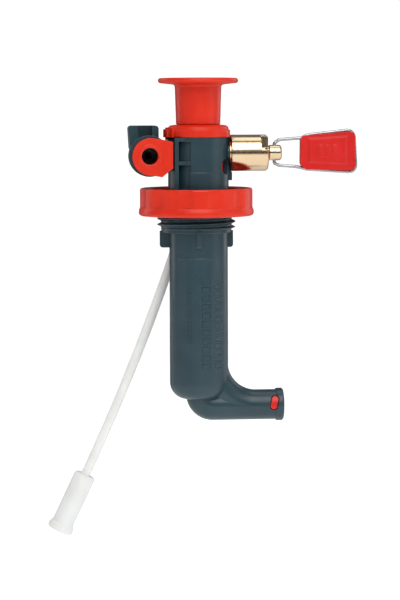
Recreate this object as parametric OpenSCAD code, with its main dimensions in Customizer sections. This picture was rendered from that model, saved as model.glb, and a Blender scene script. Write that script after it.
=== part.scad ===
// Liquid fuel stove pump: screws into a fuel bottle, pressurises it with a hand plunger,
// and meters the fuel through a needle valve to a stove fuel line.
// Millimetres. Z is the bottle thread axis, up; X points along the valve; the port mouth faces -Y.
// The origin is on the thread axis, at the underside of the grip collar.

/* [Bottle thread] */
// Thread outside diameter
thread_d = 28.6; // [20:0.1:40]
// Thread pitch
thread_pitch = 2.117; // [1:0.001:4]
// Bottom of the threaded length
thread_bottom = -4.8; // [-12:0.1:-3]
// Bottom of the plain pilot under the thread
pilot_bottom = -6; // [-14:0.1:-4]
// Bottom of the four stiffening fins
fin_bottom = -11.6; // [-20:0.1:-7]
// Thickness of a stiffening fin
fin_t = 1.8; // [1:0.1:3]

/* [Pump barrel] */
// Barrel axis, along X
barrel_x = 0.65; // [-2:0.1:2]
// Barrel axis, along Y
barrel_y = -1.6; // [-3:0.1:3]
// Outside diameter of the barrel below the thread
barrel_d = 21.3; // [18:0.1:24]
// Outside diameter of the barrel above the collar
head_d = 22; // [19:0.1:25]
// Diameter of the pump bore
bore_d = 15.2; // [12:0.1:18]
// Diameter of the wider bore at the top that takes the plunger bushing
sleeve_d = 18.1; // [16:0.1:19]
// Top face of the barrel
barrel_top = 28.4; // [24:0.1:36]
// Bottom of the barrel
barrel_bottom = -67; // [-90:0.5:-50]
// Bottom of the pump bore
bore_bottom = -62; // [-85:0.5:-45]

/* [Outlet elbow] */
// Height of the outlet tube axis
outlet_z = -69.6; // [-95:0.1:-60]
// Outside diameter of the outlet tube
outlet_d = 11; // [9:0.1:14]
// End of the outlet tube
outlet_end = 31.5; // [25:0.1:45]
// Length of the collar at the end of the outlet tube
outlet_collar = 2.7; // [2:0.1:6]
// Inside radius of the swept bend
bend_inside_r = 10.4; // [5:0.1:15]

/* [Grip collar] */
// Outside diameter of the collar lip
collar_lip_d = 41.9; // [36:0.1:50]
// Outside diameter of the collar wall
collar_d = 41; // [35:0.1:48]
// Height of the collar
collar_h = 10; // [7:0.1:14]
// Number of shallow finger flats
collar_flats = 12; // [6:1:24]

/* [Plunger] */
// Diameter of the handle flange
handle_d = 29.1; // [24:0.1:36]
// Top of the handle with the plunger pushed in
handle_top = 49.8; // [42:0.1:60]
// Stem diameter under the flange
stem_top_d = 16.9; // [12:0.1:20]
// Stem diameter at the bottom
stem_bottom_d = 16.1; // [11:0.1:20]
// Diameter of the plunger rod
rod_d = 6; // [5:0.1:8]

/* [Valve] */
// Height of the valve axis
valve_z = 22.7; // [18:0.1:26]
// Outer face of the valve nut
nut_end = 25.9; // [20:0.1:32]
// Outside diameter of the valve nut
nut_d = 13.2; // [10:0.1:18]
// Diameter of the valve knob
knob_d = 5.6; // [4:0.1:8]
// Outer end of the valve knob
knob_end = 31; // [28:0.1:40]

/* [Bail] */
// Diameter of the bail wire
wire_d = 1.2; // [0.8:0.1:2]
// Thickness of the moulded grip tag
tag_t = 3.4; // [2.4:0.1:6]

/* [Fuel line port] */
// Port axis, along X
port_x = -17.6; // [-22:0.1:-12]
// Height of the port axis
port_z = 21.85; // [18:0.1:26]
// Outside diameter of the port boss
port_boss_d = 14.8; // [12:0.1:22]
// Outside diameter of the port bushing face
port_face_d = 13.4; // [10:0.1:18]
// Diameter of the hole for the fuel tube
port_hole_d = 6; // [4:0.1:8]

/* [Pickup hose and filter] */
// Outside diameter of the hose
hose_d = 3.5; // [2.5:0.1:6]
// Inside diameter of the hose
hose_bore_d = 2; // [1:0.1:3]
// Outside diameter of the filter housing
filter_d = 8.1; // [6:0.1:12]
// Diameter of the filter flange
filter_flange_d = 9.6; // [7:0.1:15]
// Length of the filter housing
filter_l = 23; // [12:0.1:40]

/* [Hidden] */
$fn = 64;
running = 0.05;
barrel_r = barrel_d / 2;
head_r = head_d / 2;
bore_r = bore_d / 2;
outlet_r = outlet_d / 2;
thread_r = thread_d / 2;
thread_root_r = thread_r - 1.4;
hub_r = thread_r + 0.15;
wire_r = wire_d / 2;
rod_r = rod_d / 2;
spigot_r = 3.6;
neck_r = 4.5;
nut_seat_x = 11.85;
nut_face_x = 12.3;
sleeve_r = sleeve_d / 2;
sleeve_bottom = 16.5;
cap_top = 32.95;
stem_bore_r = 1.7;
feed_z = valve_z - 2.65;
bail_x = 28.4;
side_drill_x = 10.9;
rear_drill_y = 9.4;
port_front = -10.6;
slate = [0.21, 0.24, 0.28];
red = [0.86, 0.24, 0.18];
brass = [0.83, 0.66, 0.33];
steel = [0.72, 0.73, 0.74];
white = [0.92, 0.91, 0.88];
black = [0.09, 0.09, 0.1];
leather = [0.5, 0.33, 0.2];

// Pickup hose: a gentle arc in the plane behind the barrel.
hose_y = 10.2;
hose_top = [-4.95, -7];
hose_chord = 96.5;
hose_lean = 21.85;
hose_sweep = 3.5;
hose_bend_r = hose_chord / (2 * sin(hose_sweep));
hose_start_a = hose_lean - hose_sweep;
hose_end_a = hose_lean + hose_sweep;
hose_into_filter_a = 0.3;
filter_top = hose_top + hose_chord * [-sin(hose_lean), -cos(hose_lean)];

// ---- helpers -------------------------------------------------------------------------------

module on_barrel(z = 0) {
    translate([barrel_x, barrel_y, z]) children();
}

// Moves a shape drawn along Z so that it lies along +X on a horizontal axis of the barrel plane.
module along_x(x, z) {
    translate([x, barrel_y, z]) rotate([0, 90, 0]) children();
}

// Moves a shape drawn along Z so that it lies along -Y, out of the port.
module out_of_port(y) {
    translate([port_x, y, port_z]) rotate([90, 0, 0]) children();
}

// Draws an arc of a round-section bend in the barrel plane.
module bend(centre, radius, section_r, from, sweep) {
    translate([centre[0], barrel_y, centre[1]])
        rotate([90, 0, 0])
            rotate([0, 0, from])
                rotate_extrude(angle = sweep, $fn = 96)
                    intersection() {
                        translate([radius, 0]) circle(section_r);
                        translate([0, -section_r * 2]) square([radius * 3, section_r * 4]);
                    }
}

module tube(outer_r, inner_r, h) {
    difference() {
        cylinder(r = outer_r, h = h);
        translate([0, 0, -1]) cylinder(r = inner_r, h = h + 2);
    }
}

// Ring segment between two radii, from one angle through a sweep.
module sector(inner_r, outer_r, h, from, sweep) {
    rotate([0, 0, from])
        rotate_extrude(angle = sweep)
            translate([inner_r, 0]) square([outer_r - inner_r, h]);
}

module o_ring(mean_r, section_r) {
    rotate_extrude() translate([mean_r, 0]) circle(section_r, $fn = 32);
}

function arc_points(c, r, a0, a1, n = 8) =
    [for (i = [0:n]) c + r * [cos(a0 + (a1 - a0) * i / n), sin(a0 + (a1 - a0) * i / n)]];

// ---- pump body -----------------------------------------------------------------------------

// Height of the thread form, 0 at the root and 1 at the crest, for a phase in turns.
function thread_form(t) =
    let (u = abs(t - floor(t) - 0.5) * 2)
    min(1, max(0, (u - 0.25) / 0.625));

// Right-hand helical thread as one closed skin, faded out at its lower end.
module bottle_thread() {
    around = 60;
    rows = 36;
    top = 1.4;
    skin = [for (j = [0:rows], i = [0:around - 1])
        let (z = thread_bottom + (top - thread_bottom) * j / rows,
             a = 360 * i / around,
             fade = min(1, (z - thread_bottom) / 0.6),
             r = thread_root_r + (thread_r - thread_root_r) * fade * thread_form(z / thread_pitch - i / around))
        [r * cos(a), r * sin(a), z]];
    sides = [for (j = [0:rows - 1], i = [0:around - 1])
        let (n = (i + 1) % around, b = j * around)
        [b + i, b + around + i, b + around + n, b + n]];
    split = [for (q = sides) each [[q[0], q[1], q[2]], [q[0], q[2], q[3]]]];
    polyhedron(skin, concat(split, [[for (i = [0:around - 1]) i]],
                            [[for (i = [around - 1:-1:0]) rows * around + i]]));
}

module thread_plug() {
    translate([0, 0, pilot_bottom]) cylinder(r = thread_root_r - 0.1, h = 8);
    translate([0, 0, 1]) cylinder(r = hub_r, h = 6);
    // Fins under the thread
    intersection() {
        union() {
            translate([-20, -fin_t / 2, fin_bottom]) cube([40, fin_t, -fin_bottom]);
            translate([-fin_t / 2, -20, fin_bottom]) cube([fin_t, 40, -fin_bottom]);
        }
        rotate_extrude()
            polygon(concat(
                [[0, pilot_bottom + 0.5], [0, fin_bottom]],
                arc_points([12.4, fin_bottom + 1], 1, -90, 0),
                [[13.4, pilot_bottom + 0.5]]));
    }
}

module lower_barrel() {
    on_barrel()
        rotate_extrude()
            polygon(concat(
                [[0, 3], [0, barrel_bottom]],
                arc_points([barrel_r - 6, barrel_bottom + 6], 6, -90, 0, 12),
                [[barrel_r, 3]]));
}

module elbow() {
    sweep_r = bend_inside_r + outlet_r;
    sweep_x = barrel_x + barrel_r - 0.1 - outlet_r + sweep_r;
    heel_r = 4.2;
    bend([sweep_x, outlet_z + sweep_r], sweep_r, outlet_r, 180, 90);
    bend([5.6, outlet_z + heel_r], heel_r, outlet_r, 180, 90);
    translate([5.6 - heel_r, barrel_y, outlet_z + heel_r]) cylinder(r = outlet_r, h = 2);
    along_x(5.6, outlet_z) cylinder(r = outlet_r, h = outlet_end - outlet_collar + 0.5 - 5.6);
    along_x(outlet_end - outlet_collar, outlet_z)
        rotate_extrude()
            polygon([[0, 0], [outlet_r + 0.2, 0], [outlet_r + 0.5, 0.3],
                     [outlet_r + 0.5, outlet_collar - 0.5], [outlet_r, outlet_collar],
                     [0, outlet_collar]]);
}

// Shallow moulded recesses on the front left of the head, between a rib and the round wall.
module head_pockets() {
    for (z = [[19.9, 27], [8, 18.7]])
        translate([-7.3, barrel_y - head_r - 1, z[0]])
            difference() {
                cube([4.4, head_r, z[1] - z[0]]);
                translate([barrel_x + 7.3, head_r + 1, -1]) cylinder(r = 9.9, h = 30);
            }
}

module head() {
    difference() {
        union() {
            on_barrel(1) cylinder(r = head_r, h = barrel_top - 1);
            // Rear block with the fuel passages, and its right-hand flange
            translate([-7.6, 0, 12.9]) cube([19.2, 12.8, 15.4]);
            translate([11.5, -2.4, 12.8]) cube([1.4, 13.2, 15.5]);
            translate([9, 0.4, 13.5]) cube([3.4, 9.6, 14.7]);
            // Link to the port boss
            translate([-16, barrel_y - 4.4, 16.4]) cube([9, 9.2, 11]);
            translate([-16.4, 5, 18.4]) cube([10, 6.6, 7.6]);
        }
        head_pockets();
        // Seat and spot face for the valve nut
        along_x(nut_seat_x - 0.08, valve_z) cylinder(r = neck_r + running, h = 6);
        along_x(nut_face_x - 0.08, valve_z) cylinder(r = nut_d / 2 + 0.3, h = 3);
    }
    // Vertical rib left of the recesses, and the flanges above, between and below them
    translate([-8.6, -11.2, 5]) cube([1.4, 12, 23.3]);
    translate([-7.5, -11, 18.6]) cube([5, 3.5, 1.2]);
    translate([-7.5, -11, 27]) cube([4.6, 3.5, 1.2]);
    // Shallow step across the front, and the thin lines down the lower barrel
    on_barrel(5) sector(head_r - 0.5, head_r + 0.15, 10.8, -110, 40);
    on_barrel(-61) sector(barrel_r - 0.5, barrel_r + 0.12, 31, -156, 2);
    on_barrel(-15.4) sector(barrel_r - 0.5, barrel_r + 0.12, 0.5, -138, 75);
    // Feed pipe up the back
    translate([hose_top[0] + 0.6, hose_y, pilot_bottom]) cylinder(r = 2.6, h = 20);
    // Spigot for the valve nut
    along_x(9.5, valve_z) cylinder(r = spigot_r, h = 10.5);
}

module port_boss() {
    out_of_port(-5) cylinder(r = port_boss_d / 2, h = -5 - port_front);
    out_of_port(11.4) cylinder(r = 5.2, h = 18);
}

// Open-fronted bracket that a fuel line catch hooks into.
module catch_bracket() {
    difference() {
        translate([0, 6, 0])
            rotate([90, 0, 0])
                linear_extrude(height = 11)
                    polygon(concat(
                        arc_points([-15.1, 31.5], 1.2, 0, 90),
                        arc_points([-23.5, 31.5], 1.2, 90, 180),
                        [[-24.3, 24.6], [-22.5, 20], [-13.9, 20]]));
        // Recess between a tapered left rib and a straight right rib
        translate([0, 3.4, 0])
            rotate([90, 0, 0])
                linear_extrude(height = 10)
                    polygon([[-21.7, 33], [-20.8, 25.5], [-20.4, 19], [-16.3, 19], [-16.3, 33]]);
    }
}

// Barbed spigot for the hose, and the hose direction at its top.
module hose_spigot() {
    translate([hose_top[0], hose_y, hose_top[1]])
        rotate([0, hose_start_a, 0])
            translate([0, 0, -6]) {
                cylinder(r = hose_bore_d / 2 - running, h = 8.5);
            }
    translate([hose_top[0] + 0.6, hose_y, pilot_bottom - 0.35]) cylinder(r = 2.6, h = 2);
}

module body_passages() {
    // Pump bore, with a vent through the head wall
    on_barrel(bore_bottom) cylinder(r = bore_r, h = barrel_top - bore_bottom + 1);
    on_barrel(sleeve_bottom - 2.5) cylinder(r = sleeve_r, h = barrel_top);
    on_barrel(17.9)
        rotate([0, 90, -30]) translate([0, 0, 5]) cylinder(r = 2.85, h = 7);
    // Bayonet ways for the plunger bushing
    for (a = [0, 180]) {
        on_barrel(24.9) sector(sleeve_r - 0.5, 10.2, 1.8, a - 42.5, 55);
        on_barrel(24.9) sector(sleeve_r - 0.5, 10.2, 6, a - 42.5, 25);
    }
    // Air way: down from the bore and out along the outlet tube
    translate([1.8, barrel_y, outlet_z]) cylinder(r = 2, h = bore_bottom - outlet_z + 1);
    along_x(0, outlet_z) cylinder(r = 2, h = 24);
    along_x(20, outlet_z) cylinder(r = 3.7, h = 20);
    // Fuel feed: up the back, across, forward in the side wall, then into the valve chamber
    feed_x = hose_top[0] + 0.6;
    translate([feed_x, hose_y, pilot_bottom - 0.2]) cylinder(r = 1.1, h = feed_z - pilot_bottom + 0.9);
    translate([feed_x, hose_y, feed_z]) rotate([0, 90, 0]) cylinder(r = 0.6, h = side_drill_x + 0.2 - feed_x);
    translate([side_drill_x, hose_y, feed_z]) rotate([90, 0, 0]) cylinder(r = 0.4, h = hose_y - barrel_y + 0.2);
    along_x(side_drill_x - 0.1, feed_z) cylinder(r = 0.34, h = 3.6, $fn = 24);
    translate([14, barrel_y, feed_z - 0.1]) cylinder(r = 0.3, h = 2, $fn = 24);
    // Hose spigot bore
    translate([hose_top[0], hose_y, hose_top[1]])
        rotate([0, hose_start_a, 0]) translate([0, 0, -7]) cylinder(r = 0.5, h = 9.5, $fn = 24);
    // Valve chamber, and the delivery way back along the side wall and across to the port
    along_x(13.2, valve_z) cylinder(r = stem_bore_r, h = 10);
    along_x(side_drill_x - 0.1, valve_z) cylinder(r = 0.6, h = 4, $fn = 24);
    translate([side_drill_x, rear_drill_y, valve_z])
        rotate([90, 0, 0]) cylinder(r = 0.45, h = rear_drill_y - barrel_y + 0.2);
    translate([port_x - 0.2, rear_drill_y, valve_z])
        rotate([0, 90, 0]) cylinder(r = 0.65, h = side_drill_x + 0.2 - port_x);
    // Port socket: bushing bore, seal seat, then the chamber behind them
    out_of_port(-3.6) cylinder(r = 5.6, h = 20);
    out_of_port(0.6) cylinder(r = 2.6, h = 20);
    out_of_port(rear_drill_y + 0.4) cylinder(r = 1.3, h = 15);
}

module at_window() {
    translate([27.9, barrel_y, outlet_z]) rotate([-14, 0, 0]) rotate([90, 0, 0]) rotate([0, 0, -12]) children();
}

module rounded_bar(r, z, h) {
    translate([-r, -1.3, z]) cube([2 * r, 2.6, h]);
    for (side = [-1, 1])
        translate([0, side * 1.3, z]) cylinder(r = r, h = h, $fn = 32);
}

// Slanted opening beside the outlet collar that shows the bayonet lug of the check valve cap.
module bayonet_window() {
    at_window() rounded_bar(1.5, 0, 10);
}

module pump_body() {
    color(slate)
        difference() {
            union() {
                lower_barrel();
                thread_plug();
                bottle_thread();
                elbow();
                head();
                port_boss();
                catch_bracket();
                hose_spigot();
            }
            body_passages();
            bayonet_window();
        }
}

// ---- bottle seal and grip ------------------------------------------------------------------

module grip_collar() {
    wall_r = collar_d / 2;
    lip_r = collar_lip_d / 2;
    color(red)
        difference() {
            rotate_extrude($fn = 96)
                polygon([[hub_r + running, 3], [17, 3], [17, 0], [lip_r - 0.9, 0], [lip_r - 0.3, 0.25],
                         [lip_r, 0.9], [lip_r, 1.8], [lip_r - 0.2, 2.5], [wall_r, 3.1],
                         [wall_r, collar_h - 0.6], [wall_r - 0.2, collar_h - 0.15],
                         [wall_r - 0.6, collar_h], [wall_r - 1.3, collar_h],
                         [wall_r - 1.7, collar_h - 0.4], [wall_r - 2.2, 5],
                         [hub_r + running, 5]]);
            for (i = [0:collar_flats - 1])
                rotate([0, 0, (i + 0.5) * 360 / collar_flats])
                    translate([wall_r + 13.5, 0, 3.2]) cylinder(r = 14, h = 10);
        }
}

module bottle_gasket() {
    color(black) translate([0, 0, 1]) tube(16.9, hub_r + running, 1.95);
}

// ---- plunger -------------------------------------------------------------------------------

module plunger() {
    flange_r = handle_d / 2;
    stem_bottom = cap_top + 0.05;
    color(red)
        on_barrel()
            rotate_extrude()
                polygon(concat(
                    [[0, -52], [2.6, -52], [2.6, -51], [1.9, -50.6], [1.9, -48.4], [4.5, -48.4],
                     [4.5, -47.4], [rod_r, -46.6], [rod_r, stem_bottom], [stem_bottom_d / 2 - 0.3, stem_bottom],
                     [stem_bottom_d / 2, stem_bottom + 0.3]],
                    arc_points([stem_top_d / 2 + 0.9, handle_top - 3.3], 0.9, 180, 98, 5),
                    arc_points([flange_r - 0.95, handle_top - 0.95], 0.95, -80, 70, 8),
                    [[flange_r - 1.4, handle_top]],
                    arc_points([7.4, handle_top - 0.5], 0.5, 90, 180, 4),
                    [[6.2, 36], [0, 36]]));
}

// Leather pump cup: a flexible skirt that opens downwards and seals on the bore.
module pump_cup() {
    color(leather)
        on_barrel()
            rotate_extrude()
                polygon([[1.95, -50.5], [1.95, -48.5], [6.4, -48.5], [7.2, -49], [bore_r - running, -50],
                         [bore_r - running, -54.5], [6.9, -54.5], [6.6, -51], [6, -50.5]]);
}

module plunger_bushing() {
    cap_bottom = barrel_top + running;
    color(red)
        on_barrel()
            difference() {
                union() {
                    // Cap with a shallow conical top
                    rotate_extrude()
                        polygon([[0, cap_bottom], [11.1, cap_bottom], [11.4, cap_bottom + 0.3],
                                 [11.4, 31], [11.1, 31.25], [10.9, 32.1], [10.2, 32.7],
                                 [8.6, cap_top], [0, cap_top]]);
                    // Finger tab, with a skirt outside the barrel, and a low bead opposite
                    translate([0, 0, cap_bottom]) sector(8, 11.6, 2.6, -34, 68);
                    translate([0, 0, cap_bottom]) sector(8, 12, 3.5, 146, 68);
                    translate([0, 0, cap_bottom]) sector(11, 12.7, 2.9, 158, 44);
                    translate([0, 0, cap_bottom - 0.9]) sector(11.1, 12, 1.2, 170, 20);
                    // Sleeve in the top of the bore, with two bayonet lugs
                    translate([0, 0, sleeve_bottom]) cylinder(r = sleeve_r - running, h = 13);
                    for (a = [0, 180])
                        translate([0, 0, 25]) sector(6.5, 10.1, 1.6, a - 11, 22);
                }
                translate([0, 0, 10]) cylinder(r = rod_r + running, h = 30);
                translate([0, 0, 10]) cylinder(r = 7.2, h = 17.5);
            }
}

// ---- fuel line port ------------------------------------------------------------------------

module port_face_outline() {
    translate([0.45, -0.2]) circle(port_face_d / 2);
    polygon([[0, 5.5], [3.2, 6.2], [8.2, 5.1], [8.2, -4.3], [4.3, -7.5], [0.5, -6.8]]);
}

module fuel_port_bushing() {
    color(red)
        difference() {
            union() {
                out_of_port(port_front - 0.05) linear_extrude(height = 3) port_face_outline();
                out_of_port(-3.7) cylinder(r = 5.55, h = 7.5);
                out_of_port(port_front - 3.05)
                    rotate_extrude() translate([3.2, 0]) polygon([[0, -0.3], [1.3, -0.3], [0.7, 0.35], [0, 0.35]]);
            }
            out_of_port(0) cylinder(r = port_hole_d / 2, h = 20);
            out_of_port(-3) cylinder(r = 4.6, h = 4);
            out_of_port(port_front - 3) cylinder(r1 = port_hole_d / 2 - 0.3, r2 = port_hole_d / 2 + 0.8, h = 0.9);
        }
}

module port_o_ring() {
    color(black) out_of_port(-5.3) o_ring(3.65, 0.9);
}

// ---- valve ---------------------------------------------------------------------------------

module valve_seat() {
    color(brass) along_x(13.22, valve_z) tube(stem_bore_r - 0.02, 0.55, 1.1);
}

module valve_nut() {
    nut_r = nut_d / 2;
    color(brass)
        difference() {
            along_x(0, valve_z)
                rotate_extrude()
                    polygon([[0, nut_seat_x], [neck_r, nut_seat_x], [neck_r, nut_face_x],
                             [nut_r - 0.2, nut_face_x], [nut_r, nut_face_x + 0.2],
                             [nut_r, nut_end - 0.7], [nut_r - 0.7, nut_end], [0, nut_end]]);
            along_x(nut_seat_x - 1, valve_z) cylinder(r = spigot_r + running, h = 11);
            along_x(nut_seat_x, valve_z) cylinder(r = 2.95, h = 20);
            // Stop notch in the front of the outer end
            translate([23.15, barrel_y - 10, valve_z + 1.15]) cube([5, 7.6, 10]);
        }
}

module valve_stem() {
    knob_r = knob_d / 2;
    stem_land_r = stem_bore_r - running;
    color(brass)
        difference() {
            along_x(0, valve_z)
                rotate_extrude()
                    polygon(concat(
                        [[0, 13.9], [0.25, 13.9], [0.52, 14.33], [0.9, 14.8], [0.9, 15],
                         [stem_land_r, 15], [stem_land_r, 15.8], [1, 15.8], [1, 17.2], [stem_land_r, 17.2],
                         [stem_land_r, 20.6], [2.9, 21], [2.9, 24.8], [2.3, 25.2], [2.3, 26.3],
                         [knob_r - 0.3, 26.3]],
                        [[knob_r, 26.6]],
                        arc_points([knob_r - 0.9, knob_end - 0.9], 0.9, 0, 90, 6),
                        [[0, knob_end]]));
            // Cross hole for the bail
            translate([bail_x, barrel_y, valve_z - 5]) cylinder(r = wire_r + 0.1, h = 10, $fn = 32);
        }
}

module valve_o_ring() {
    color(black) along_x(16.5, valve_z) o_ring(1.34, 0.33);
}

// ---- bail ----------------------------------------------------------------------------------

// Wire corners in the barrel plane, as [x, z, bend radius], from the lower end in the cross hole
// round to the upper end.
wire_corners = [[bail_x, 20.9, 0], [bail_x, 18.9, 0.9], [30, 18.1, 1.5], [36.5, 17.6, 5],
                [40.5, 16.6, 5], [58.5, 15.4, 2.3], [57.65, 30.95, 2.6], [40.8, 29.1, 3],
                [38.4, 28, 3], [30.2, 27.4, 1.3], [bail_x, 26.1, 0.9], [bail_x, 24.5, 0]];

function corner(i) = [wire_corners[i][0], wire_corners[i][1]];
function heading(i) = atan2(corner(i + 1)[1] - corner(i)[1], corner(i + 1)[0] - corner(i)[0]);
function turn(i) =
    let (t = heading(i) - heading(i - 1)) t > 180 ? t - 360 : t < -180 ? t + 360 : t;
function tangent_l(i) =
    i == 0 || i == len(wire_corners) - 1 ? 0 : wire_corners[i][2] * tan(abs(turn(i)) / 2);

function wire_bend(i) =
    tangent_l(i) == 0 ? [corner(i)] :
    let (side = sign(turn(i)),
         h = heading(i - 1),
         c = corner(i) - tangent_l(i) * [cos(h), sin(h)] + wire_corners[i][2] * side * [-sin(h), cos(h)])
    arc_points(c, wire_corners[i][2], h - side * 90, h - side * 90 + turn(i), ceil(abs(turn(i)) / 24));
wire_points = [for (i = [0:len(wire_corners) - 1]) each wire_bend(i)];

// Short straight lengths with a round knuckle over each joint.
module wire_solid(r) {
    gap = 0.12;
    for (i = [0:len(wire_points) - 2]) {
        a = wire_points[i];
        d = wire_points[i + 1] - a;
        start = i == 0 ? 0 : gap;
        finish = i == len(wire_points) - 2 ? 0 : gap;
        translate([a[0], barrel_y, a[1]])
            rotate([0, 90 - atan2(d[1], d[0]), 0]) {
                translate([0, 0, start]) cylinder(r = r, h = norm(d) - start - finish, $fn = 32);
                if (i > 0) sphere(r + 0.03, $fn = 32);
            }
    }
}

module bail_wire() {
    color(steel) wire_solid(wire_r);
}

module tag_outline() {
    polygon(concat(
        arc_points([56, 28.3], 1.9, 0, 97, 8),
        [[40, 29], [38.7, 28.75], [37.95, 28], [37.85, 19], [38.1, 18.2], [39.1, 17], [40, 16.5]],
        arc_points([56.2, 17.8], 1.7, -90, 0, 8)));
}

module bail_tag() {
    color(red)
        difference() {
            union() {
                translate([0, barrel_y + tag_t / 2, 0])
                    rotate([90, 0, 0]) linear_extrude(height = tag_t) tag_outline();
                // Raised grip panels with sloping sides and three plain ribs, front and back
                for (side = [-1, 1])
                    translate([47.8, barrel_y + side * (tag_t / 2 - 0.1), 23.2])
                        rotate([side * -90, 0, 0]) {
                            linear_extrude(height = 0.75, scale = 0.86)
                                polygon([[-7.6, -4.9 * side], [7.4, -5.7 * side], [7.4, 5.3 * side],
                                         [-7.6, 4.4 * side]]);
                            for (i = [-1:1])
                                translate([2.8 * i - 0.7, -2.2, 0]) cube([1.4, 4.4, 1]);
                        }
            }
            wire_solid(wire_r + 0.06);
        }
}

// ---- check valve ---------------------------------------------------------------------------

check_seat_x = 20.05;
ball_r = 2.2;
ball_x = check_seat_x + 1 + sqrt(ball_r * ball_r - 2.25) + 0.01;

module check_seat() {
    color(black) along_x(check_seat_x, outlet_z) tube(3.66, 1.5, 1);
}

module check_ball() {
    color(steel) along_x(ball_x, outlet_z) sphere(ball_r);
}

// Closed-end coil spring drawn as a plain coil envelope with its turns.
module check_spring() {
    from_x = ball_x + 1.55;
    to_x = 29.15;
    turns = 5;
    pitch = (to_x - from_x - 0.5) / turns;
    color(steel)
        along_x(from_x + 0.25, outlet_z) {
            for (i = [0:turns])
                translate([0, 0, i * pitch]) o_ring(1.85, 0.22);
            for (a = [0, 180])
                rotate([0, 0, a]) translate([1.85, 0, 0]) cylinder(r = 0.12, h = turns * pitch, $fn = 16);
        }
}

module check_valve_cap() {
    color(red) {
        difference() {
            along_x(24.4, outlet_z)
                rotate_extrude()
                    polygon([[2.7, 0], [3.65, 0], [3.65, 6.8], [3.3, 7.1], [1.2, 7.1], [1.2, 4.8], [2.7, 4.8]]);
        }
        // Bayonet lug, seen through the window in the outlet collar
        intersection() {
            at_window() rounded_bar(1.2, 2.9, 4);
            along_x(24.4, outlet_z) cylinder(r = outlet_r + 0.1, h = 7);
        }
    }
}

// ---- pickup hose and filter ----------------------------------------------------------------

module hose_arc(r, from_a, sweep) {
    centre = hose_top + hose_bend_r * [-cos(hose_start_a), sin(hose_start_a)];
    translate([centre[0], hose_y, centre[1]])
        rotate([90, 0, 0])
            rotate([0, 0, from_a])
                rotate_extrude(angle = sweep, $fn = 180)
                    translate([hose_bend_r, 0]) circle(r, $fn = 32);
}

module pickup_hose() {
    sweep = 2 * hose_sweep + hose_into_filter_a;
    color(white)
        difference() {
            hose_arc(hose_d / 2, -hose_start_a - sweep, sweep);
            hose_arc(hose_bore_d / 2, -hose_start_a - sweep - 0.2, sweep + 0.4);
        }
}

module at_filter() {
    translate([filter_top[0], hose_y, filter_top[1]]) rotate([0, 180 + hose_end_a, 0]) children();
}

module filter_housing() {
    r = filter_d / 2;
    color(white)
        at_filter()
            rotate_extrude()
                polygon([[hose_d / 2 + 0.08, 0], [r - 0.6, 0], [r, 0.6], [r, filter_l - 3.2],
                         [r + 0.4, filter_l - 2.6], [filter_flange_d / 2, filter_l - 2.2],
                         [filter_flange_d / 2, filter_l - 0.4], [filter_flange_d / 2 - 0.4, filter_l],
                         [3.1, filter_l], [3.1, 5.4], [1.2, 5.4], [1.2, 4.6], [hose_d / 2 + 0.08, 4.6]]);
}

// Gauze thimble with drainage openings.
module filter_screen() {
    color(steel)
        at_filter()
            difference() {
                translate([0, 0, 5.6]) cylinder(r = 3.02, h = filter_l - 6.4);
                translate([0, 0, 6]) cylinder(r = 2.72, h = filter_l);
                for (row = [0:4], a = [0:45:315])
                    rotate([0, 90, a]) translate([-8 - row * 3, 0, 2]) cylinder(r = 0.8, h = 2, $fn = 16);
            }
}

// ---- assembly ------------------------------------------------------------------------------

pump_body();
grip_collar();
bottle_gasket();
plunger();
pump_cup();
plunger_bushing();
fuel_port_bushing();
port_o_ring();
valve_seat();
valve_nut();
valve_stem();
valve_o_ring();
bail_wire();
bail_tag();
check_seat();
check_ball();
check_spring();
check_valve_cap();
pickup_hose();
filter_housing();
filter_screen();
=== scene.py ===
import math

import bmesh
import bpy
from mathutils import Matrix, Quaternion, Vector


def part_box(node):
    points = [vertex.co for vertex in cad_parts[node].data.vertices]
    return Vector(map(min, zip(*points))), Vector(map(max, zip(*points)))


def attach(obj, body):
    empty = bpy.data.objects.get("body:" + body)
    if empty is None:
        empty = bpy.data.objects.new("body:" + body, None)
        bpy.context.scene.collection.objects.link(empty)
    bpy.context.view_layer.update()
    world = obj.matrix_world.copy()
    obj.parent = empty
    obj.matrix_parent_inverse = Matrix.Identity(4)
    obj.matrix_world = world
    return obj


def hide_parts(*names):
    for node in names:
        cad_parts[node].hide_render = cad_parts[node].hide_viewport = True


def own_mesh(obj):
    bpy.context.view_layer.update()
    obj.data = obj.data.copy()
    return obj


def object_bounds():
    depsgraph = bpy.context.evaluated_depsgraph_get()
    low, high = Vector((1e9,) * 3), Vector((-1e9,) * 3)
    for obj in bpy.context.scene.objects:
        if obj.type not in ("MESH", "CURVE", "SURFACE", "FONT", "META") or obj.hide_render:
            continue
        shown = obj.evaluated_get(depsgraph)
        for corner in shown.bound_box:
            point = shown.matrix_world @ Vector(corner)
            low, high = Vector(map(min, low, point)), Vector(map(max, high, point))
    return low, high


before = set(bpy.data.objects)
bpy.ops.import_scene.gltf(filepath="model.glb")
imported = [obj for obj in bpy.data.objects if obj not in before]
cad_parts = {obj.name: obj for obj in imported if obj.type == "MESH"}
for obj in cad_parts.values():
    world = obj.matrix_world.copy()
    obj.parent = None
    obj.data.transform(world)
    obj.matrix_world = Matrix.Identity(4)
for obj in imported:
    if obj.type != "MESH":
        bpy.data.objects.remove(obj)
cad_lo, cad_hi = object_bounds()


# ---- materials -----------------------------------------------------------------------------

# Radius that the shading rounds every edge to, and how finely it looks for edges.
EDGE_RADIUS = 0.0003
EDGE_SAMPLES = 6
# How far the rounded normal turns (as a cosine) where an edge takes its full lighter tone (rubbed
# wear and painted highlight), and where not at all.
FULLY_WORN_AND_LIT, NOT_WORN_OR_LIT = 0.86, 0.995
# Noise output runs from about 0.3 to 0.7, so that span is stretched over each pair of values.
NOISE_LOW, NOISE_HIGH = 0.3, 0.7


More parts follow.
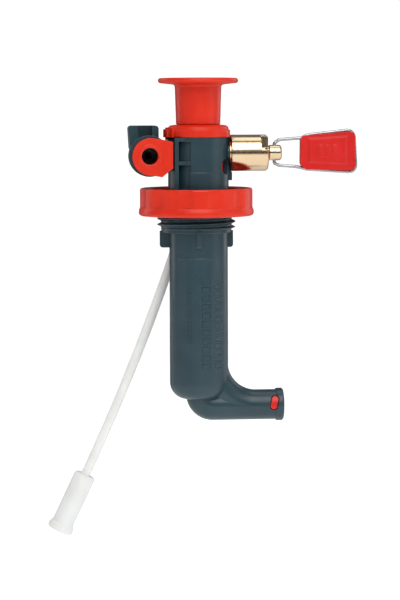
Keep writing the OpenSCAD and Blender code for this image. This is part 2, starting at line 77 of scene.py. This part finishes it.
class Maker:
    """Builds one node material: a shader with layered colour, roughness and bump."""

    def __init__(self, name):
        self.mat = bpy.data.materials.new(name)
        self.mat.use_nodes = True
        self.tree = self.mat.node_tree
        self.bsdf = self.tree.nodes["Principled BSDF"]
        self.coords = self.tree.nodes.new("ShaderNodeTexCoord").outputs["Object"]
        edge = self.tree.nodes.new("ShaderNodeBevel")
        edge.samples = EDGE_SAMPLES
        edge.inputs["Radius"].default_value = EDGE_RADIUS
        self.height = self.edge_normal = edge.outputs["Normal"]
        self.link(self.height, self.bsdf.inputs["Normal"])

    def node(self, kind, **values):
        """Adds a node; each value sets the input of that name, or else the node's own property."""
        made = self.tree.nodes.new(kind)
        for key, value in values.items():
            if key in made.inputs:
                made.inputs[key].default_value = value
            else:
                setattr(made, key, value)
        return made

    def link(self, a, b):
        self.tree.links.new(a, b)

    def noise(self, scale, detail=4.0, stretch=None):
        made = self.node("ShaderNodeTexNoise", Scale=scale, Detail=detail)
        source = self.coords
        if stretch:
            mapping = self.node("ShaderNodeMapping", Scale=stretch)
            self.link(self.coords, mapping.inputs["Vector"])
            source = mapping.outputs["Vector"]
        self.link(source, made.inputs["Vector"])
        return made.outputs["Fac"]

    def remap(self, value, low, high, lo_in=NOISE_LOW, hi_in=NOISE_HIGH):
        """Carries lo_in..hi_in over to low..high, and holds the ends beyond them."""
        made = self.node("ShaderNodeMapRange")
        made.inputs["From Min"].default_value = lo_in
        made.inputs["From Max"].default_value = hi_in
        made.inputs["To Min"].default_value = low
        made.inputs["To Max"].default_value = high
        self.link(value, made.inputs["Value"])
        return made.outputs["Result"]

    def mix(self, fac, a, b):
        """Blends two colours, each a socket or an RGB triple, by the value of a socket."""
        made = self.node("ShaderNodeMix", data_type="RGBA")
        self.link(fac, made.inputs["Factor"])
        _, colour_a, colour_b = [sock for sock in made.inputs if sock.enabled]
        for sock, value in ((colour_a, a), (colour_b, b)):
            if hasattr(value, "links"):
                self.link(value, sock)
            else:
                sock.default_value = (*value, 1.0)
        return next(sock for sock in made.outputs if sock.enabled)

    def math(self, operation, a, b=None, clamp=False):
        made = self.node("ShaderNodeMath", operation=operation, use_clamp=clamp)
        for sock, value in zip(made.inputs, (a, b)):
            if hasattr(value, "links"):
                self.link(value, sock)
            elif value is not None:
                sock.default_value = value
        return made.outputs[0]

    def worn_and_highlit_edges(self, colour, worn_and_highlit):
        """Mixes in a lighter tone where the rounded normal turns away from the true one: rubbed
        wear together with a painted edge highlight.
        """
        flat = self.node("ShaderNodeNewGeometry").outputs["Normal"]
        turn = self.node("ShaderNodeVectorMath", operation="DOT_PRODUCT")
        self.link(flat, turn.inputs[0])
        self.link(self.edge_normal, turn.inputs[1])
        mask = self.remap(turn.outputs["Value"], 1.0, 0.0, FULLY_WORN_AND_LIT, NOT_WORN_OR_LIT)
        edge_breakup = self.remap(self.noise(700.0), 0.3, 1.0)
        return self.mix(self.math("MULTIPLY", mask, edge_breakup, clamp=True), colour, worn_and_highlit)

    def axes(self):
        """The x, y and z sockets of the point being shaded."""
        made = self.node("ShaderNodeSeparateXYZ")
        self.link(self.coords, made.inputs[0])
        return made.outputs

    def colour(self, value):
        self.link(value, self.bsdf.inputs["Base Color"])

    def rough(self, value):
        self.link(value, self.bsdf.inputs["Roughness"])

    def bump(self, value, distance):
        """Raises the surface by up to distance, on top of the bumps already there."""
        made = self.node("ShaderNodeBump", Distance=distance, Strength=1.0)
        self.link(value, made.inputs["Height"])
        self.link(self.height, made.inputs["Normal"])
        self.height = made.outputs["Normal"]
        self.link(self.height, self.bsdf.inputs["Normal"])

    def set(self, **values):
        """Sets shader inputs by name, with _ for each space."""
        for key, value in values.items():
            self.bsdf.inputs[key.replace("_", " ")].default_value = value


# Noise scales of a moulding: its cloudy tone, its uneven gloss, its grain and its waviness.
CLOUDS, GLOSS, GRAIN, WAVES = 90.0, 260.0, 2600.0, 120.0
WAVE_HEIGHT = 0.00012


def moulded(name, dark, light, worn_and_highlit, rough, sheen, grain):
    """Injection-moulded plastic: cloudy tone, rubbed edges with a painted edge highlight, fine
    grain and a slight waviness.
    """
    m = Maker(name)
    base = m.mix(m.remap(m.noise(CLOUDS, 3.0), 0.0, 1.0), dark, light)
    # The lighter edge tone is part rubbed wear, part painted highlight.
    m.colour(m.worn_and_highlit_edges(base, worn_and_highlit))
    m.rough(m.remap(m.noise(GLOSS, 5.0), *rough))
    m.bump(m.noise(GRAIN, 2.0), grain)
    m.bump(m.noise(WAVES, 2.0), WAVE_HEIGHT)
    m.set(Specular_IOR_Level=sheen, Coat_Weight=0.05, Coat_Roughness=0.25)
    return m


# Each edge tone below is lighter than the body colour: part rubbed wear, part painted highlight.
slate = moulded("slate_nylon",
                dark=(0.015, 0.042, 0.055), light=(0.023, 0.056, 0.071), worn_and_highlit=(0.075, 0.110, 0.122),
                rough=(0.28, 0.36), sheen=0.42, grain=0.00002)
red = moulded("red_acetal",
              dark=(0.68, 0.020, 0.004), light=(0.76, 0.028, 0.007), worn_and_highlit=(0.84, 0.10, 0.06),
              rough=(0.30, 0.42), sheen=0.32, grain=0.00001)
red_deep = moulded("red_acetal_deep",
                   dark=(0.60, 0.010, 0.008), light=(0.68, 0.016, 0.012), worn_and_highlit=(0.78, 0.08, 0.06),
                   rough=(0.28, 0.38), sheen=0.35, grain=0.00001)
white = moulded("white_plastic",
                dark=(0.80, 0.80, 0.785), light=(0.86, 0.86, 0.845), worn_and_highlit=(0.90, 0.90, 0.89),
                rough=(0.35, 0.5), sheen=0.4, grain=0.00001)
hose_white = moulded("hose_plastic",
                     dark=(0.83, 0.815, 0.79), light=(0.90, 0.88, 0.86), worn_and_highlit=(0.92, 0.90, 0.89),
                     rough=(0.3, 0.42), sheen=0.4, grain=0.00001)
rubber = moulded("black_rubber",
                 dark=(0.012, 0.012, 0.013), light=(0.022, 0.022, 0.023), worn_and_highlit=(0.04, 0.04, 0.042),
                 rough=(0.6, 0.75), sheen=0.3, grain=0.00003)
leather = moulded("cup_leather",
                  dark=(0.16, 0.075, 0.03), light=(0.26, 0.13, 0.06), worn_and_highlit=(0.34, 0.19, 0.1),
                  rough=(0.5, 0.7), sheen=0.3, grain=0.00006)
for pale in (white, hose_white):
    pale.set(Subsurface_Weight=0.15, Subsurface_Scale=0.003)


# The raised bars stand on the front of the barrel only, which is everything nearer than this.
BARREL_FRONT_Y = -0.004
# A bar's ends slope down between these distances from its middle, as shares of the bar's length.
BAR_END = (0.42, 0.50)
# A bar's long sides slope up between these distances from the gap's middle, as shares of the pitch.
BAR_SIDE = (0.12, 0.20)


def raised_bars(m, column_x, width, low_z, high_z, pitch, height):
    """Plain raised bars in a column down the front of the barrel."""
    x, y, z = m.axes()
    across = m.math("ABSOLUTE", m.math("SUBTRACT", x, column_x))
    column = m.remap(across, 1.0, 0.0, *(share * width for share in BAR_END))
    front = m.math("LESS_THAN", y, BARREL_FRONT_Y)
    above = m.math("GREATER_THAN", z, low_z)
    below = m.math("LESS_THAN", z, high_z)
    cycle = m.math("PINGPONG", z, pitch / 2)
    bar = m.remap(cycle, 0.0, 1.0, *(share * pitch for share in BAR_SIDE))
    mask = column
    for part in (front, above, below, bar):
        mask = m.math("MULTIPLY", mask, part)
    m.bump(mask, height)


# The pump cup slides in the bore, so its middle is the barrel's middle.
barrel_lo, barrel_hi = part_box("pump_cup")
barrel_x = (barrel_lo.x + barrel_hi.x) / 2
raised_bars(slate, barrel_x + 0.0064, width=0.0030, low_z=-0.055, high_z=-0.023,
            pitch=0.0024, height=0.00030)
raised_bars(slate, barrel_x + 0.0018, width=0.0030, low_z=-0.055, high_z=-0.023,
            pitch=0.0031, height=0.00030)
raised_bars(slate, barrel_x - 0.0042, width=0.0014, low_z=-0.046, high_z=-0.026,
            pitch=0.0017, height=0.00022)


def turned_brass(name):
    """Brass with the fine rings that turning leaves: noise squeezed along X, the turning axis."""
    m = Maker(name)
    tone = m.mix(m.remap(m.noise(60.0), 0.0, 1.0), (0.69, 0.52, 0.33), (0.75, 0.59, 0.40))
    # The lighter edge tone is part rubbed wear, part painted highlight.
    m.colour(m.worn_and_highlit_edges(tone, (0.86, 0.72, 0.50)))
    m.rough(m.remap(m.noise(140.0, 6.0, stretch=(12.0, 1.0, 1.0)), 0.14, 0.22))
    m.bump(m.noise(500.0, 3.0, stretch=(14.0, 1.0, 1.0)), 0.000006)
    m.set(Metallic=1.0)
    return m


def drawn_steel(name):
    """Stainless wire and sheet, with a faintly uneven drawn finish."""
    m = Maker(name)
    m.colour(m.mix(m.remap(m.noise(200.0, 3.0), 0.0, 1.0), (0.34, 0.34, 0.36), (0.44, 0.44, 0.46)))
    m.rough(m.remap(m.noise(900.0), 0.18, 0.34))
    m.bump(m.noise(1800.0, 2.0), 0.00001)
    m.set(Metallic=1.0)
    return m


brass = turned_brass("turned_brass")
steel = drawn_steel("drawn_steel")

MATERIALS = {
    "pump_body": slate, "grip_collar": red, "bottle_gasket": rubber, "plunger": red,
    "pump_cup": leather, "plunger_bushing": red, "fuel_port_bushing": red,
    "port_o_ring": rubber, "valve_seat": brass, "valve_nut": brass, "valve_stem": brass,
    "valve_o_ring": rubber, "bail_wire": steel, "bail_tag": red_deep, "check_seat": rubber,
    "check_ball": steel, "check_spring": steel, "check_valve_cap": red_deep,
    "pickup_hose": hose_white, "filter_housing": white, "filter_screen": steel,
}


# Faces that meet more sharply than this keep a crisp edge between them.
CREASE = math.radians(32)


def paint(obj, maker):
    obj.data.materials.clear()
    obj.data.materials.append(maker.mat)


def smooth(mesh):
    mesh.polygons.foreach_set("use_smooth", [True] * len(mesh.polygons))


for name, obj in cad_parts.items():
    paint(obj, MATERIALS[name])
    smooth(obj.data)
    obj.data.set_sharp_from_angle(angle=CREASE)


# ---- check spring --------------------------------------------------------------------------

SPRING_WIRE_R = 0.00022
SPRING_TURNS = 5.5
# Turns at each end that lie flat before the coil starts to rise.
FLAT_TURNS = 0.75
ALONG = Vector((1.0, 0.0, 0.0))


def new_object(name, bm):
    mesh = bpy.data.meshes.new(name)
    bm.to_mesh(mesh)
    smooth(mesh)
    obj = bpy.data.objects.new(name, mesh)
    bpy.context.scene.collection.objects.link(obj)
    return obj


def coil(name, lo, hi, wire_r, turns, steps=40, sides=14):
    """One continuous spring along X that fills a box, its end turns laid flat."""
    mean_r = (hi.z - lo.z) / 2 - wire_r
    start = Vector((lo.x + wire_r, (lo.y + hi.y) / 2, (lo.z + hi.z) / 2))
    length = hi.x - lo.x - 2 * wire_r
    bm = bmesh.new()
    rings = []
    for i in range(int(turns * steps) + 1):
        turn = i / steps
        rise = min(max((turn - FLAT_TURNS) / (turns - 2 * FLAT_TURNS), 0.0), 1.0)
        a = 2 * math.pi * turn
        out = Vector((0.0, math.cos(a), math.sin(a)))
        spot = start + ALONG * length * rise + out * mean_r
        ring = []
        for j in range(sides):
            b = 2 * math.pi * j / sides
            ring.append(bm.verts.new(spot + wire_r * (math.cos(b) * out + math.sin(b) * ALONG)))
        rings.append(ring)
    for near, far in zip(rings, rings[1:]):
        for j in range(sides):
            k = (j + 1) % sides
            bm.faces.new((near[j], near[k], far[k], far[j]))
    bm.faces.new(rings[0][::-1])
    bm.faces.new(rings[-1])
    bmesh.ops.recalc_face_normals(bm, faces=bm.faces)
    return new_object(name, bm)


spring_lo, spring_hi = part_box("check_spring")
spring = coil("check_spring_coil", spring_lo, spring_hi, SPRING_WIRE_R, SPRING_TURNS)
paint(spring, steel)
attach(spring, "pump_body")
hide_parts("check_spring")
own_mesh(spring)


# ---- studio --------------------------------------------------------------------------------

def look_at(obj, target):
    obj.rotation_mode = "QUATERNION"
    obj.rotation_quaternion = (target - obj.location).to_track_quat("-Z", "Y")


# Each light: its place, the size of its panel and its power in watts.
LIGHTS = {
    "key": ((0.05, -0.80, 0.80), (0.9, 0.9), 8.4),
    "fill_right": ((0.85, -0.35, 0.25), (0.5, 0.9), 0.8),
    "top": ((0.0, 0.15, 0.95), (0.9, 0.5), 2.0),
    "rim_right": ((0.80, 0.55, 0.25), (0.35, 0.9), 1.3),
    "rim_left": ((-0.80, 0.55, 0.25), (0.35, 0.9), 1.3),
}
LIT_POINT = Vector((0.0, 0.0, -0.02))


def area_light(name, place, size, power):
    data = bpy.data.lights.new(name, "AREA")
    data.shape = "RECTANGLE"
    data.size, data.size_y = size
    data.energy = power
    obj = bpy.data.objects.new(name, data)
    obj.location = place
    look_at(obj, LIT_POINT)
    bpy.context.scene.collection.objects.link(obj)


# The floor lies this far below the object, runs back, and sweeps up into the backdrop.
FLOOR_GAP = 0.035
FLOOR_FRONT, FLOOR_BACK, FLOOR_HALF_WIDTH = -1.6, 0.9, 2.5
SWEEP_R = 0.5
SWEEP_STEPS = 10
BACKDROP_TOP = 2.2
# The floor's own glow: where it is seen directly, and in reflections of its near and far parts.
SEEN_GLOW = 0.6
NEAR_GLOW, FAR_GLOW = 0.42, 0.04
# The reflected floor darkens between these distances behind the object.
DARKENS_FROM, DARKENS_TO = -0.05, 0.45


def floor():
    """A pale floor that sweeps up into a backdrop behind the object."""
    z0 = cad_lo.z - FLOOR_GAP
    profile = [(FLOOR_FRONT, z0), (FLOOR_BACK, z0)]
    for step in range(1, SWEEP_STEPS + 1):
        a = math.radians(90 / SWEEP_STEPS * step)
        profile.append((FLOOR_BACK + SWEEP_R * math.sin(a), z0 + SWEEP_R - SWEEP_R * math.cos(a)))
    profile.append((FLOOR_BACK + SWEEP_R, z0 + BACKDROP_TOP))
    bm = bmesh.new()
    rows = [[bm.verts.new((x, y, z)) for x in (-FLOOR_HALF_WIDTH, FLOOR_HALF_WIDTH)]
            for y, z in profile]
    for a, b in zip(rows, rows[1:]):
        bm.faces.new((a[0], a[1], b[1], b[0]))
    obj = new_object("floor", bm)
    paint(obj, floor_material())


def floor_material():
    """Evenly pale when seen directly; in reflections it darkens towards the backdrop."""
    m = Maker("pale_floor")
    pale = m.mix(m.remap(m.noise(3.0), 0.0, 1.0), (0.93, 0.93, 0.93), (0.95, 0.95, 0.95))
    seen = m.node("ShaderNodeLightPath").outputs["Is Camera Ray"]
    back = m.remap(m.axes()[1], 0.0, 1.0, DARKENS_FROM, DARKENS_TO)
    m.colour(m.mix(seen, m.mix(back, (0.9, 0.9, 0.9), (0.3, 0.3, 0.3)), pale))
    m.rough(m.remap(m.noise(40.0), 0.7, 0.85))
    reflected = m.remap(back, NEAR_GLOW, FAR_GLOW, 0.0, 1.0)
    glow = m.math("MAXIMUM", m.math("MULTIPLY", seen, SEEN_GLOW), reflected)
    m.set(Specular_IOR_Level=0.1, Emission_Color=(1.0, 1.0, 1.0, 1.0))
    m.link(glow, m.bsdf.inputs["Emission Strength"])
    return m


# Directions in the room are unit vectors: y is -1 straight in front and 1 straight behind, and
# z is 0 level with the object. Its light runs evenly from the front value to the back value
# between these two depths.
ROOM_FRONT, ROOM_BACK = 0.34, 0.22
FRONT_DEPTH, BACK_DEPTH = -0.5, 0.2
# The dark band: its darkness, the heights it fades between, and the depths it fades between.
BAND_DARKNESS = 0.85
BAND_HEIGHTS = (0.12, 0.24)
BAND_DEPTHS = (-0.75, -0.45)


def room():
    """A grey room: brightest in front, but with a dark band there at the level of the object."""
    world = bpy.data.worlds.new("studio")
    world.use_nodes = True
    tree = world.node_tree

    def add(kind, **values):
        made = tree.nodes.new(kind)
        for key, value in values.items():
            setattr(made, key, value)
        return made

    def ramp(value, lo_in, hi_in, low, high):
        made = add("ShaderNodeMapRange")
        made.inputs["From Min"].default_value = lo_in
        made.inputs["From Max"].default_value = hi_in
        made.inputs["To Min"].default_value = low
        made.inputs["To Max"].default_value = high
        tree.links.new(value, made.inputs["Value"])
        return made.outputs["Result"]

    def combine(operation, a, b):
        made = add("ShaderNodeMath", operation=operation)
        for sock, value in zip(made.inputs, (a, b)):
            if hasattr(value, "links"):
                tree.links.new(value, sock)
            else:
                sock.default_value = value
        return made.outputs[0]

    parts = add("ShaderNodeSeparateXYZ")
    tree.links.new(add("ShaderNodeTexCoord").outputs["Generated"], parts.inputs[0])
    _, depth, level = parts.outputs
    band = ramp(combine("ABSOLUTE", level, 0.0), *BAND_HEIGHTS, BAND_DARKNESS, 0.0)
    ahead = ramp(depth, *BAND_DEPTHS, 1.0, 0.0)
    shade = combine("SUBTRACT", 1.0, combine("MULTIPLY", band, ahead))
    brightness = ramp(depth, FRONT_DEPTH, BACK_DEPTH, ROOM_FRONT, ROOM_BACK)
    light = combine("MULTIPLY", shade, brightness)
    background = tree.nodes["Background"]
    background.inputs["Color"].default_value = (1.0, 1.0, 1.0, 1.0)
    tree.links.new(light, background.inputs["Strength"])
    bpy.context.scene.world = world


floor()
for name, (place, size, power) in LIGHTS.items():
    area_light(name, place, size, power)
room()

# ---- camera --------------------------------------------------------------------------------

# The camera stands a little to the left of the front, a little above the middle.
CAMERA_HEIGHT = 0.040
CAMERA_TURN = math.radians(5.0)
CAMERA_ROLL = math.radians(0.2)
CAMERA_DISTANCE = 0.76
# The point it looks at is this far to its right of the object's origin, and this high.
AIM_RIGHT, AIM_HEIGHT = 0.00124, -0.0310
# Height of what the picture takes in, at that point.
VIEW_HEIGHT = 0.21954
SENSOR_HEIGHT = 24.0

sideways = Vector((math.cos(CAMERA_TURN), -math.sin(CAMERA_TURN), 0.0))
aim = sideways * AIM_RIGHT + Vector((0.0, 0.0, AIM_HEIGHT))
camera_data = bpy.data.cameras.new("camera")
camera = bpy.data.objects.new("camera", camera_data)
camera.location = Vector((aim.x - CAMERA_DISTANCE * math.sin(CAMERA_TURN),
                          aim.y - CAMERA_DISTANCE * math.cos(CAMERA_TURN), CAMERA_HEIGHT))
look_at(camera, aim)
camera.rotation_quaternion = camera.rotation_quaternion @ Quaternion((0.0, 0.0, 1.0), -CAMERA_ROLL)
camera_data.sensor_fit = "VERTICAL"
camera_data.sensor_height = SENSOR_HEIGHT
camera_data.lens = SENSOR_HEIGHT * (camera.location - aim).length / VIEW_HEIGHT
camera_data.clip_start, camera_data.clip_end = 0.01, 20.0
bpy.context.scene.collection.objects.link(camera)
bpy.context.scene.camera = camera
bpy.context.scene.view_settings.view_transform = "Standard"
